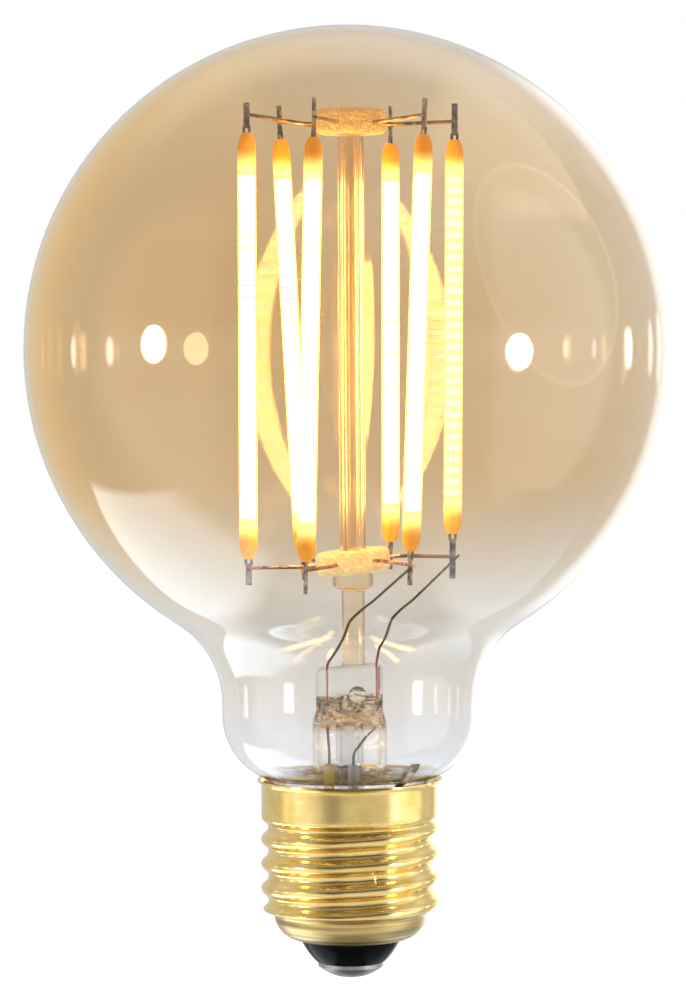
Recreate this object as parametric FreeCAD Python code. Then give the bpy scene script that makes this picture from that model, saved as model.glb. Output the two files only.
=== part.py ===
import FreeCAD, Part
import math
import os
from FreeCAD import Placement, Rotation, Vector

# Globe bulb on an E27 screw cap, in millimetres. The origin is the middle of the centre contact's face and
# +Z runs up the axis to the globe. Angles round the axis start at the front, -Y, and grow towards +X.

# Screw cap: one piece of rolled brass sheet
cap_sheet = 0.3
thread_major_diameter = 26.4
thread_depth = 1.05
thread_pitch = 3.629
thread_zone_height = 14.6
thread_crest_angle = -90.0
thread_crest_rise = 7.4
thread_run_out = 0.7
thread_run_in = 1.4
skirt_step = 0.08
skirt_height = 4.35
lip_bend_radius = 0.7
lip_turn = 80.0
mouth_diameter = 15.0
mouth_height = 5.5
bowl_bend_radius = 3.8
stake_angle = 18.4
stake_ball_diameter = 2.0
stake_depth = 0.12

# Black glass insulator and centre contact
contact_diameter = 9.7
contact_flat_diameter = 4.4
contact_dome_radius = 7.5
contact_sheet = 0.4
shank_diameter = 3.0
shank_height = 7.2
shank_floor = 0.8
insulator_lip = 0.33
insulator_lip_rise = 0.2
insulator_flank_sag = 0.2
insulator_floor_turn = 50.0
insulator_seat_gap = 0.05

# Blown glass envelope
globe_diameter = 95.0
glass_wall = 0.6
neck_diameter = 37.6
neck_length = 1.77
shoulder_radius = 14.0
neck_turn_radius = 10.0
lip_clearance = 0.64
throat_clearance = 0.45
throat_fillet = 2.0
seal_depth = 9.7
cement_cover = 0.5

# Stem: flare tube, pinch and exhaust tube
flare_wall = 0.9
stem_length = 19.0
stem_dome_radius = 2.6
pinch_draw_in = 0.6
pinch_depth = 3.8
pinch_height = 8.0
pinch_slant = 1.0
pinch_corner = 0.8
pinch_shoulder_drop = 0.8
pinch_shoulder_rise = 2.8
exhaust_diameter = 4.0
exhaust_bore = 2.4
exhaust_tip_gap = 1.2
blow_bore_diameter = 1.9
blow_hole_diameter = 2.6
blow_hole_height = 3.4
blow_hole_shift = 1.2

# Pillars and hubs: the mount stands a little off the axis, as it was sealed in
mount_shift = 0.65
lower_pillar_diameter = 3.4
lower_pillar_length = 14.8
knob_diameter = 6.0
knob_height = 2.6
upper_pillar_diameter = 3.8
upper_pillar_bore = 2.0
pillar_grip = 1.2
hub_round = 0.9
lower_hub_diameter = 11.0
lower_hub_height = 3.4
lower_hub_tilt = 6.0
upper_hub_diameter = 10.6
upper_hub_height = 3.7
upper_hub_rise = 2.9

# Filaments, their end tabs and the wires that hold them
filament_count = 6
first_filament_angle = -80.0
lower_ring_twist = -6.0
lower_ring_tilt = 5.5
lower_ring_rise = 1.4
ring_radius = 15.4
crown_clearance = 13.27
filament_diameter = 2.7
filament_end_diameter = 1.5
filament_taper = 2.2
tab_thickness = 0.25
tab_width = 0.9
tab_corner = 0.12
fork_width = 1.2
fork_slot = 0.44
fork_grip = 0.9
fork_reach = 0.9
link_diameter = 0.55
link_press = 0.05
link_overrun = 0.35
link_stub = 1.8
link_bend_radius = 8.0
hairpin_clearance = 0.2
upper_link_drop = 0.3
upper_weld_reach = 2.8
lower_weld_drop = 0.15
lower_weld_tilt = 2.4
stay_foot_gap = 0.9

# Each filament was set by hand: the steps of its ends from the even ring, sideways and up, and its tabs
filament_top_steps = ((0.0, 1.2), (0.0, -0.2), (0.6, 0.2), (0.2, 0.3), (0.8, 0.5), (-0.6, 1.1))
filament_bottom_steps = ((0.0, 0.6), (0.0, 0.1), (-0.3, 0.0), (-0.6, 1.0), (-1.0, 0.0), (1.1, 0.0))
top_tab_reaches = (4.4, 5.6, 5.2, 5.4, 5.7, 5.1)
bottom_tab_reaches = (3.9, 4.7, 4.9, 6.6, 4.2, 4.2)

# Lead wires and their sleeves
lead_diameter = 0.38
lead_bend_radius = 1.6
lead_weld_drop = 0.6
left_lead_overrun = 0.2
right_lead_overrun = 1.3
left_lead_inset = 1.65
right_lead_inset = 0.85
left_lead_foot_angle = -62.0
right_lead_foot_angle = 9.0
left_lead_start_rise = 0.2
left_lead_bend_right = 1.35
left_lead_bend_front = 2.3
left_lead_bend_rise = 2.5
left_lead_knee_right = 3.3
left_lead_knee_front = 5.2
left_lead_knee_rise = 6.2
right_lead_start_rise = 0.6
right_lead_bend_right = 0.4
right_lead_bend_rise = 2.8
right_lead_knee_right = 2.3
right_lead_knee_back = 0.3
right_lead_knee_rise = 6.0
sleeve_diameter = 1.5
sleeve_clearance = 0.55
sleeve_length = 15.4
sleeve_bend_gap = 1.8

# Driver board, its parts and the side strip
board_thickness = 1.0
board_clearance = 0.3
pin_stub = 0.6
pin_diameter = 0.5
capacitor_diameter = 6.3
capacitor_height = 6.2
capacitor_stand_off = 0.2
capacitor_floor_gap = 1.5
capacitor_reach = 4.6
capacitor_pin_pitch = 2.5
capacitor_round = 0.5
crimp_depth = 0.3
crimp_height = 1.2
chip_length = 4.9
chip_width = 3.9
chip_height = 1.5
chip_legs = 4
chip_leg_pitch = 1.27
bridge_length = 4.7
bridge_width = 3.6
bridge_height = 1.7
bridge_legs = 2
bridge_leg_pitch = 2.5
leg_width = 0.4
leg_thickness = 0.25
leg_reach = 0.9
package_stand_off = 0.1
chip_right = 4.7
chip_front = 3.7
bridge_right = 5.0
bridge_back = 2.2
resistor_length = 6.2
resistor_diameter = 2.4
resistor_waist = 2.0
resistor_drop = 2.0
resistor_back = 6.8
resistor_lead_gap = 1.0
resistor_bend_radius = 0.8
contact_wire_diameter = 0.6
contact_wire_left = 0.5
contact_wire_front = 5.2
contact_wire_rise = 2.4
contact_wire_slope = 2.6
contact_wire_bend = 1.0
strip_thickness = 0.2
strip_width = 1.4
strip_angle = 34.0
strip_foot = 1.9
strip_bend_radius = 0.5
strip_jog = 1.0
strip_gap = 0.03
strip_tail_turn = 30.0

# Sizes that follow from those above
thread_crest_radius = thread_major_diameter / 2
thread_root_radius = thread_crest_radius - thread_depth
thread_arc_radius = ((thread_pitch / 2) ** 2 + thread_depth ** 2) / (4 * thread_depth)
root_bore_radius = thread_root_radius - cap_sheet
skirt_radius = thread_crest_radius - skirt_step
collar_bore_radius = skirt_radius - cap_sheet
mouth_radius = mouth_diameter / 2
bowl_radius = mouth_radius + bowl_bend_radius
bowl_top = mouth_height + bowl_bend_radius
thread_top = bowl_top + thread_zone_height
skirt_top = thread_top + skirt_height
rim_height = skirt_top + (lip_bend_radius + cap_sheet) * math.sin(math.radians(lip_turn))
contact_radius = contact_diameter / 2
shank_radius = shank_diameter / 2
globe_radius = globe_diameter / 2
neck_radius = neck_diameter / 2
throat_radius = root_bore_radius - throat_clearance
throat_bore_radius = throat_radius - glass_wall
seal_height = rim_height - seal_depth
exhaust_radius = exhaust_diameter / 2
lead_foot_reach = exhaust_radius + sleeve_clearance + sleeve_diameter / 2
flare_bore_radius = lead_foot_reach + sleeve_diameter / 2 + sleeve_clearance
flare_radius = flare_bore_radius + flare_wall
pinch_width = 2 * (flare_radius - pinch_draw_in)
stem_ceiling = seal_height + stem_length
pinch_top = stem_ceiling + pinch_height
lower_hub_middle = pinch_top + lower_pillar_length
insulator_seat_bend = bowl_bend_radius - cap_sheet - insulator_seat_gap
insulator_floor = bowl_top - insulator_seat_bend * math.cos(math.radians(insulator_floor_turn))
capacitor_top = insulator_floor + capacitor_floor_gap + capacitor_height
board_bottom = capacitor_top + capacitor_stand_off
board_top = board_bottom + board_thickness
link_radius = link_diameter / 2
weld_offset = tab_thickness / 2 + link_radius - link_press
lead_weld_offset = tab_thickness / 2 + lead_diameter / 2 - link_press
hairpin_radius = upper_pillar_diameter / 2 + link_radius + hairpin_clearance
chip_place = Vector(chip_right, -chip_front, 0)
bridge_place = Vector(bridge_right, bridge_back, 0)
resistor_place = Vector(0, resistor_back, 0)
contact_wire_foot = Vector(-contact_wire_left, -contact_wire_front, 0)


def section_point(radius, height):
    """A point of a turned section, in the XZ plane."""
    return Vector(radius, 0, height)


def ring_direction(angle):
    """The level direction that an angle round the axis points in."""
    turn = math.radians(angle)
    return Vector(math.sin(turn), -math.cos(turn), 0)


def line(start, end):
    return Part.LineSegment(start, end).toShape()


def arc_about(centre, start, end):
    """The shorter arc about a centre between two points at the same distance from it."""
    radius = (start - centre).Length
    middle = (start - centre) + (end - centre)
    middle.normalize()
    return Part.Arc(start, centre + middle * radius, end).toShape()


def rounded_run(points, radii, closed=False):
    """Straight runs through the points, with a tangent arc of its own radius at each corner."""
    count = len(points)
    corners = range(count) if closed else range(1, count - 1)
    entries = {}
    exits = {}
    arcs = {}
    for corner, radius in zip(corners, radii):
        here = points[corner]
        back = (points[corner - 1] - here).normalize()
        ahead = (points[(corner + 1) % count] - here).normalize()
        half = back.getAngle(ahead) / 2
        entries[corner] = here
        exits[corner] = here
        if radius > 0:
            reach = radius / math.tan(half)
            entries[corner] = here + back * reach
            exits[corner] = here + ahead * reach
            inward = (back + ahead).normalize()
            middle = here + inward * (radius / math.sin(half) - radius)
            arcs[corner] = Part.Arc(entries[corner], middle, exits[corner]).toShape()
    edges = []
    for index in range(count if closed else count - 1):
        following = (index + 1) % count
        start = exits.get(index, points[index])
        end = entries.get(following, points[following])
        if (end - start).Length > 1e-6:
            edges.append(line(start, end))
        if following in arcs:
            edges.append(arcs[following])
    return edges


def joined(edges):
    return Part.Wire(Part.__sortEdges__(edges))


def turned(edges):
    """The solid that a closed section makes when it is turned about the Z axis."""
    return Part.Face(joined(edges)).revolve(Vector(0, 0, 0), Vector(0, 0, 1), 360)


def outline_solid(edges, depth):
    """A flat outline carried through by a depth, half of it to each side."""
    return Part.Face(joined(edges)).translated(depth * -0.5).extrude(depth)


def swept(edges, section):
    return joined(edges).makePipeShell([section], True, False)


def round_wire(points, radii, diameter):
    """A drawn wire along straight runs and tangent arcs."""
    section = Part.Wire(Part.makeCircle(diameter / 2, points[0], points[1] - points[0]))
    return swept(rounded_run(points, radii), section)


def smooth_step(low, high, value):
    share = min(1.0, max(0.0, (value - low) / (high - low)))
    return share * share * (3 - 2 * share)


# The cap's wall: rows of control points up its section and columns round it, joined by one smooth surface.
# A smooth surface runs a little inside its control points, and the two gains make up for that.
cap_columns = 36
thread_rows_per_pitch = 12
bowl_rows = 12
skirt_rows = 8
lip_rows = 6
slope_step = 0.02


def smooth_gain(points_per_turn):
    return 3 / (2 + math.cos(2 * math.pi / points_per_turn))


def knuckle_height(offset):
    """Height of the round thread above its root, at an offset up or down from a crest."""
    half_pitch = thread_pitch / 2
    offset = abs((offset + half_pitch) % thread_pitch - half_pitch)
    if offset <= half_pitch / 2:
        return thread_depth - thread_arc_radius + math.sqrt(thread_arc_radius ** 2 - offset ** 2)
    return thread_depth - knuckle_height(half_pitch - offset)


def thread_zone_radius(angle, height):
    """Outer radius of the rolled part, which runs out into the bowl below and into the skirt above."""
    turns = (angle - thread_crest_angle) / 360
    offset = height - bowl_top - thread_crest_rise - thread_pitch * turns
    middle = thread_depth / 2
    wave = middle + (knuckle_height(offset) - middle) * smooth_gain(thread_rows_per_pitch)
    rolled = thread_root_radius + wave
    low = smooth_step(bowl_top, bowl_top + thread_run_out, height)
    high = smooth_step(thread_top - thread_run_in, thread_top, height)
    return bowl_radius + (rolled - bowl_radius) * low + (skirt_radius - rolled) * high


def cap_section(angle, inset):
    """Control points of one side of the sheet at one angle, from the mouth up to the lip."""
    points = []
    for row in range(bowl_rows):
        turn = math.radians(90 * row / bowl_rows)
        bend = bowl_bend_radius - inset
        points.append((mouth_radius + bend * math.sin(turn), bowl_top - bend * math.cos(turn)))
    thread_rows = round(thread_rows_per_pitch * thread_zone_height / thread_pitch)
    for row in range(thread_rows + 1):
        height = bowl_top + thread_zone_height * row / thread_rows
        radius = thread_zone_radius(angle, height)
        above = thread_zone_radius(angle, height + slope_step)
        below = thread_zone_radius(angle, height - slope_step)
        slope = (above - below) / (2 * slope_step)
        lean = math.hypot(1, slope)
        points.append((radius - inset / lean, height + inset * slope / lean))
    for row in range(1, skirt_rows + 1):
        points.append((skirt_radius - inset, thread_top + skirt_height * row / skirt_rows))
    for row in range(1, lip_rows + 1):
        turn = math.radians(lip_turn * row / lip_rows)
        bend = lip_bend_radius + inset
        reach = skirt_radius + lip_bend_radius - bend * math.cos(turn)
        points.append((reach, skirt_top + bend * math.sin(turn)))
    return points


def cap_side(inset):
    """One side of the brass sheet as a face that closes on itself round the axis."""
    gain = smooth_gain(cap_columns)
    poles = []
    for column in range(cap_columns):
        angle = 360 * column / cap_columns
        outward = ring_direction(angle) * gain
        section = cap_section(angle, inset)
        poles.append([outward * radius + Vector(0, 0, height) for radius, height in section])
    rows = len(poles[0])
    inner_knots = rows - 4
    surface = Part.BSplineSurface()
    surface.buildFromPolesMultsKnots(
        poles,
        [1] * (cap_columns + 1),
        [4] + [1] * inner_knots + [4],
        list(range(cap_columns + 1)),
        list(range(inner_knots + 2)),
        True,
        False,
        3,
        3,
    )
    return surface.toShape()


def end_ring(side, height_of):
    """The lowest or highest edge of a side of the sheet."""
    rings = [edge for edge in side.Edges if edge.isClosed()]
    return height_of(rings, key=lambda edge: edge.BoundBox.ZMin)


def make_stake_ball():
    """The ball of the punch that left a small mark in the thread's groove."""
    radius = stake_ball_diameter / 2
    turns = (stake_angle - thread_crest_angle) / 360
    groove_height = bowl_top + thread_crest_rise + thread_pitch * (turns - 0.5)
    reach = thread_root_radius + radius - stake_depth
    return Part.makeSphere(radius, ring_direction(stake_angle) * reach + Vector(0, 0, groove_height))


def make_cap_shell():
    outer = cap_side(0)
    inner = cap_side(cap_sheet)
    faces = [outer, inner]
    for end in (min, max):
        faces.append(Part.makeRuledSurface(end_ring(outer, end), end_ring(inner, end)))
    shell = Part.makeShell(faces)
    shell.sewShape()
    solid = Part.Solid(Part.Shell(shell.Faces))
    if solid.Volume < 0:
        solid.reverse()
    return solid.cut(make_stake_ball())


# The centre contact: a domed plate on a hollow shank, seated in the black glass
dome_middle = math.sqrt(contact_dome_radius ** 2 - (contact_flat_diameter / 2) ** 2)


def dome_height(radius, inset):
    """Height of the contact's dome, or of the parallel face inside it, at a radius."""
    return dome_middle - math.sqrt((contact_dome_radius - inset) ** 2 - radius ** 2)


def dome_arc(inset, first_radius, last_radius):
    start = section_point(first_radius, dome_height(first_radius, inset))
    end = section_point(last_radius, dome_height(last_radius, inset))
    return arc_about(section_point(0, dome_middle), start, end)


def make_centre_contact():
    flat = contact_flat_diameter / 2
    wire_radius = contact_wire_diameter / 2
    edge_low = section_point(contact_radius, dome_height(contact_radius, 0))
    edge_high = section_point(contact_radius, dome_height(contact_radius, contact_sheet))
    neck = section_point(shank_radius, dome_height(shank_radius, contact_sheet))
    shank_end = section_point(shank_radius, shank_height)
    bore_end = section_point(wire_radius, shank_height)
    bore_foot = section_point(wire_radius, shank_floor)
    bore_middle = section_point(0, shank_floor)
    face_edge = section_point(flat, 0)
    return turned([
        line(section_point(0, 0), face_edge),
        dome_arc(0, flat, contact_radius),
        line(edge_low, edge_high),
        dome_arc(contact_sheet, contact_radius, shank_radius),
        line(neck, shank_end),
        line(shank_end, bore_end),
        line(bore_end, bore_foot),
        line(bore_foot, bore_middle),
        line(bore_middle, section_point(0, 0)),
    ])


def make_cap_insulator():
    seat = insulator_seat_bend
    bend_middle = section_point(mouth_radius, bowl_top)
    floor_reach = seat * math.sin(math.radians(insulator_floor_turn))
    floor_edge = section_point(mouth_radius + floor_reach, insulator_floor)
    neck_radius_inside = mouth_radius - insulator_seat_gap
    neck_top = section_point(neck_radius_inside, bowl_top - seat)
    neck_foot = section_point(neck_radius_inside, mouth_height)
    plate_edge = section_point(contact_radius, dome_height(contact_radius, contact_sheet))
    flank_foot = plate_edge + section_point(insulator_lip, insulator_lip_rise)
    flank = (neck_foot + flank_foot) * 0.5
    across = (neck_foot - flank_foot).cross(Vector(0, 1, 0)).normalize()
    flank_middle = flank - across * insulator_flank_sag
    shank_foot = section_point(shank_radius, dome_height(shank_radius, contact_sheet))
    floor_start = section_point(mouth_radius, bowl_top - seat)
    hole_top = section_point(shank_radius, insulator_floor)
    return turned([
        Part.Arc(flank_foot, flank_middle, neck_foot).toShape(),
        line(neck_foot, neck_top),
        line(neck_top, floor_start),
        arc_about(bend_middle, floor_start, floor_edge),
        line(floor_edge, hole_top),
        line(hole_top, shank_foot),
        dome_arc(contact_sheet, shank_radius, contact_radius),
        line(plate_edge, flank_foot),
    ])


# The glass envelope: globe, shoulder, neck and throat share the centres of their arcs, so that the wall
# has the same thickness all over
neck_turn_side = neck_radius - neck_turn_radius
lip_edge_radius = skirt_radius + lip_bend_radius
lip_edge_radius -= (lip_bend_radius + cap_sheet) * math.cos(math.radians(lip_turn))
neck_rise = math.sqrt((neck_turn_radius + lip_clearance) ** 2 - (lip_edge_radius - neck_turn_side) ** 2)
neck_turn_middle = section_point(neck_turn_side, rim_height + neck_rise)
shoulder_middle = section_point(neck_radius + shoulder_radius, neck_turn_middle.z + neck_length)
globe_rise = math.sqrt((globe_radius + shoulder_radius) ** 2 - shoulder_middle.x ** 2)
globe_middle = section_point(0, shoulder_middle.z + globe_rise)
throat_fillet_radius = throat_radius + throat_fillet
throat_fillet_side = throat_fillet_radius - neck_turn_middle.x
throat_fillet_drop = math.sqrt((neck_turn_radius + throat_fillet) ** 2 - throat_fillet_side ** 2)
throat_fillet_middle = section_point(throat_fillet_radius, neck_turn_middle.z - throat_fillet_drop)


def envelope_points(inset):
    """The pole, the tangent points down the wall and the end at the seal."""
    shoulder_way = (shoulder_middle - globe_middle).normalize()
    throat_way = (throat_fillet_middle - neck_turn_middle).normalize()
    return [
        globe_middle + section_point(0, globe_radius - inset),
        globe_middle + shoulder_way * (globe_radius - inset),
        section_point(neck_radius - inset, shoulder_middle.z),
        section_point(neck_radius - inset, neck_turn_middle.z),
        neck_turn_middle + throat_way * (neck_turn_radius - inset),
        section_point(throat_radius - inset, throat_fillet_middle.z),
        section_point(throat_radius - inset, seal_height),
    ]


def envelope_line(inset):
    pole, below_globe, neck_top, neck_end, below_neck, throat_top, seal = envelope_points(inset)
    side = globe_middle + section_point(globe_radius - inset, 0)
    return [
        Part.Arc(pole, side, below_globe).toShape(),
        arc_about(shoulder_middle, below_globe, neck_top),
        line(neck_top, neck_end),
        arc_about(neck_turn_middle, neck_end, below_neck),
        arc_about(throat_fillet_middle, below_neck, throat_top),
        line(throat_top, seal),
    ]


def make_glass_envelope():
    outside = envelope_points(0)
    inside = envelope_points(glass_wall)
    ends = [line(outside[-1], inside[-1]), line(inside[0], outside[0])]
    return turned(envelope_line(0) + envelope_line(glass_wall) + ends)


def make_envelope_body():
    """The envelope as if it were solid, which shapes the cement round it."""
    outside = envelope_points(0)
    foot = section_point(0, seal_height)
    return turned(envelope_line(0) + [line(outside[-1], foot), line(foot, outside[0])])


def make_basing_cement(envelope_body, side_strip):
    low = thread_top + cement_cover
    high = rim_height - cement_cover
    ring = Part.makeCylinder(collar_bore_radius - strip_gap, high - low, Vector(0, 0, low))
    ring = ring.cut(Part.makeCylinder(throat_bore_radius, high - low, Vector(0, 0, low)))
    return ring.cut(envelope_body).cut(side_strip)


# The stem: the flare tube's foot is fused to the throat, and its top is pressed flat round the leads
flare_bend_middle = section_point(throat_bore_radius, seal_height + throat_bore_radius - flare_bore_radius)


def make_flare_tube(top):
    """The tube with its flared foot, and a round ceiling under the pinch."""
    outer_bend = throat_bore_radius - flare_radius
    foot_high = section_point(throat_bore_radius, flare_bend_middle.z - outer_bend)
    foot_low = section_point(throat_bore_radius, seal_height)
    outer_start = section_point(flare_radius, flare_bend_middle.z)
    inner_start = section_point(flare_bore_radius, flare_bend_middle.z)
    dome_start = section_point(flare_bore_radius, stem_ceiling - stem_dome_radius)
    dome_end = section_point(flare_bore_radius - stem_dome_radius, stem_ceiling)
    dome_centre = section_point(flare_bore_radius - stem_dome_radius, stem_ceiling - stem_dome_radius)
    return turned([
        arc_about(flare_bend_middle, outer_start, foot_high),
        line(foot_high, foot_low),
        arc_about(flare_bend_middle, foot_low, inner_start),
        line(inner_start, dome_start),
        arc_about(dome_centre, dome_start, dome_end),
        line(dome_end, section_point(0, stem_ceiling)),
        line(section_point(0, stem_ceiling), section_point(0, top)),
        line(section_point(0, top), section_point(flare_radius, top)),
        line(section_point(flare_radius, top), outer_start),
    ])


def pinch_press():
    """The space that the press leaves: the tube below, drawn in to a flat bar with a slanted top."""
    low = seal_height
    shoulder_low = stem_ceiling - pinch_shoulder_drop
    shoulder_high = stem_ceiling + pinch_shoulder_rise
    half_depth = pinch_depth / 2
    half_width = pinch_width / 2
    high = pinch_top + pinch_slant
    reach = throat_bore_radius
    back_points = [
        Vector(0, reach, low),
        Vector(0, reach, flare_bend_middle.z),
        Vector(0, flare_radius, flare_bend_middle.z),
        Vector(0, flare_radius, shoulder_low),
        Vector(0, half_depth, shoulder_high),
        Vector(0, half_depth, high),
    ]
    side_points = back_points + [Vector(0, -point.y, point.z) for point in reversed(back_points)]
    round_in = stem_dome_radius
    side_radii = [0, 0, 0, round_in, round_in / 2, 0, 0, round_in / 2, round_in, 0, 0, 0]
    top_left = pinch_top - pinch_slant / 2
    top_right = pinch_top + pinch_slant / 2
    front_points = [
        Vector(reach, 0, low),
        Vector(reach, 0, flare_bend_middle.z),
        Vector(flare_radius, 0, flare_bend_middle.z),
        Vector(flare_radius, 0, shoulder_low),
        Vector(half_width, 0, stem_ceiling + pinch_corner),
        Vector(half_width, 0, top_right),
        Vector(-half_width, 0, top_left),
        Vector(-half_width, 0, stem_ceiling + pinch_corner),
        Vector(-flare_radius, 0, shoulder_low),
        Vector(-flare_radius, 0, flare_bend_middle.z),
        Vector(-reach, 0, flare_bend_middle.z),
        Vector(-reach, 0, low),
    ]
    front_radii = [0, 0, 0, pinch_corner, pinch_corner] + [pinch_corner] * 4 + [0, 0, 0]
    side = outline_solid(rounded_run(side_points, side_radii, True), Vector(2 * reach, 0, 0))
    front = outline_solid(rounded_run(front_points, front_radii, True), Vector(0, 2 * reach, 0))
    return side.common(front)


def make_stem_flare(leads):
    stem = make_flare_tube(pinch_top + pinch_slant).common(pinch_press())
    hole_height = stem_ceiling + blow_hole_height
    bore = Part.makeCylinder(blow_bore_diameter / 2, blow_hole_height, Vector(0, 0, stem_ceiling))
    hole_middle = Vector(blow_hole_shift, -pinch_depth / 2, hole_height)
    stem = stem.cut(bore).cut(Part.makeSphere(blow_hole_diameter / 2, hole_middle))
    for lead in leads:
        stem = stem.cut(lead)
    return stem


def make_exhaust_tube():
    """The tube that the air was drawn out by, melted shut at its tip."""
    radius = exhaust_radius
    bore = exhaust_bore / 2
    tip = board_top + exhaust_tip_gap
    tip_middle = section_point(0, tip + radius)
    return turned([
        line(section_point(bore, stem_ceiling), section_point(radius, stem_ceiling)),
        line(section_point(radius, stem_ceiling), section_point(radius, tip_middle.z)),
        arc_about(tip_middle, section_point(radius, tip_middle.z), section_point(0, tip)),
        line(section_point(0, tip), section_point(0, tip + radius - bore)),
        arc_about(tip_middle, section_point(0, tip + radius - bore), section_point(bore, tip_middle.z)),
        line(section_point(bore, tip_middle.z), section_point(bore, stem_ceiling)),
    ])


# Pillars and hubs stand on the pinch, off the axis by the mount's shift
mount_place = Vector(mount_shift, 0, 0)
tab_outer_radius = ring_radius + mount_shift + fork_width / 2
crown_height = math.sqrt((globe_radius - glass_wall) ** 2 - tab_outer_radius ** 2)
filament_top_height = globe_middle.z + crown_height - crown_clearance
upper_hub_middle = filament_top_height + upper_hub_rise
pillar_joint = lower_hub_middle - lower_hub_height / 2 + pillar_grip


def make_lower_pillar(stem_flare):
    """A glass rod with a head that was melted to a knob, and a core up into the hub."""
    radius = lower_pillar_diameter / 2
    knob = knob_diameter / 2
    knob_top = lower_hub_middle - lower_hub_height / 2
    knob_foot = knob_top - knob_height
    foot = pinch_top - pinch_slant
    points = [
        section_point(0, foot),
        section_point(radius, foot),
        section_point(radius, knob_foot),
        section_point(knob, knob_foot + (knob - radius) / 2),
        section_point(knob, knob_top),
        section_point(radius, knob_top + (knob - radius) / 4),
        section_point(radius, pillar_joint),
        section_point(0, pillar_joint),
    ]
    soft = (knob - radius) / 2
    rod = turned(rounded_run(points, [0, 0, soft / 2, soft, soft, 0, 0, 0], True))
    return rod.translated(mount_place).cut(stem_flare)


def make_upper_rod(diameter):
    """The upper pillar's outside or its bore, from one hub into the other."""
    top = upper_hub_middle - upper_hub_height / 2 + pillar_grip
    start = mount_place + Vector(0, 0, pillar_joint)
    return Part.makeCylinder(diameter / 2, top - pillar_joint, start)


def make_hub(diameter, height, middle, tilt, held):
    """A bead of sintered glass, melted round the pillars and wires that it holds."""
    radius = diameter / 2
    half = height / 2
    points = [
        section_point(0, -half),
        section_point(radius, -half),
        section_point(radius, half),
        section_point(0, half),
    ]
    bead = turned(rounded_run(points, [0, hub_round, hub_round, 0], True))
    bead.rotate(Vector(0, 0, 0), Vector(0, 1, 0), -tilt)
    bead = bead.translated(mount_place + Vector(0, 0, middle))
    for piece in held:
        bead = bead.cut(piece)
    return bead


# The filaments stand in a ring, each between its tab on the upper links and its tab on the lower ones
class Filament:
    """The place of one filament: its ends, its own axes and the points where wires are welded to its tabs."""

    def __init__(self, number):
        top_angle = first_filament_angle + 360 * number / filament_count
        bottom_angle = top_angle + lower_ring_twist
        top_out = ring_direction(top_angle) * ring_radius
        bottom_out = ring_direction(bottom_angle) * ring_radius
        ring_lift = bottom_out.x * math.tan(math.radians(lower_ring_tilt))
        weld_lift = bottom_out.x * math.tan(math.radians(lower_weld_tilt))
        top_step, top_rise = filament_top_steps[number]
        bottom_step, bottom_rise = filament_bottom_steps[number]
        self.top = mount_place + top_out + Vector(top_step, 0, filament_top_height + top_rise)
        bottom_height = lower_hub_middle + lower_ring_rise + ring_lift + bottom_rise
        self.bottom = mount_place + bottom_out + Vector(bottom_step, 0, bottom_height)
        self.length = (self.top - self.bottom).Length
        self.along = (self.top - self.bottom).normalize()
        outward = ring_direction((top_angle + bottom_angle) / 2)
        self.outward = (outward - self.along * outward.dot(self.along)).normalize()
        self.across = self.along.cross(self.outward)
        self.top_angle = top_angle
        self.bottom_angle = bottom_angle
        weld_height = lower_hub_middle - lower_weld_drop + weld_lift
        self.lower_weld_reach = (bottom_height - weld_height) / self.along.z

    def upright(self):
        """Local X outward, Z up the filament, from its bottom end."""
        return Placement(self.bottom, Rotation(self.outward, self.across, self.along, "ZXY"))

    def top_place(self):
        return Placement(self.top, Rotation(self.outward, self.across, self.along, "ZXY"))

    def bottom_place(self):
        return Placement(self.bottom, Rotation(self.outward, self.across * -1, self.along * -1, "ZXY"))

    def upper_weld(self, side):
        return self.top + self.along * upper_weld_reach + self.across * (side * weld_offset)

    def lower_weld(self, side, offset, drop=0.0):
        return self.bottom - self.along * (self.lower_weld_reach + drop) + self.across * (side * offset)


def make_tab(reach):
    """A stamped strip with a fork that grips the filament's end."""
    fork = fork_width / 2
    slot = fork_slot / 2
    strip = tab_width / 2
    waist = fork_reach + fork - strip
    half = [
        (slot, fork_reach - slot),
        (slot, -fork_grip),
        (fork, -fork_grip),
        (fork, fork_reach),
        (strip, waist),
        (strip, reach),
    ]
    mirrored = [(-width, height) for width, height in reversed(half)]
    points = [section_point(width, height) for width, height in half + mirrored]
    radii = [tab_corner, 0, 0, 0, 0, tab_corner, tab_corner, 0, 0, 0, 0, tab_corner]
    return outline_solid(rounded_run(points, radii, True), Vector(0, tab_thickness, 0))


def make_filament(length):
    """A round strip of phosphor that narrows to each end."""
    radius = filament_diameter / 2
    end = filament_end_diameter / 2
    ogive = ((radius - end) ** 2 + filament_taper ** 2) / (2 * (radius - end))
    upper = length - filament_taper
    return turned([
        line(section_point(0, 0), section_point(end, 0)),
        arc_about(
            section_point(radius - ogive, filament_taper),
            section_point(end, 0),
            section_point(radius, filament_taper),
        ),
        line(section_point(radius, filament_taper), section_point(radius, upper)),
        arc_about(
            section_point(radius - ogive, upper),
            section_point(radius, upper),
            section_point(end, length),
        ),
        line(section_point(end, length), section_point(0, length)),
        line(section_point(0, length), section_point(0, 0)),
    ])


def hub_exit(angle, hub_diameter, middle, tilt):
    """The point just outside a hub where a wire that leaves it bends."""
    out = ring_direction(angle) * (hub_diameter / 2 + link_stub)
    lift = out.x * math.tan(math.radians(tilt))
    return mount_place + out + Vector(0, 0, middle + lift)


def upper_arm(filament, side):
    """The bend and the end of an upper link, from the hub out to a tab."""
    middle = upper_hub_middle - upper_link_drop
    bend = hub_exit(filament.top_angle, upper_hub_diameter, middle, 0)
    end = filament.upper_weld(side) + filament.outward * link_overrun
    return [bend, end]


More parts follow.
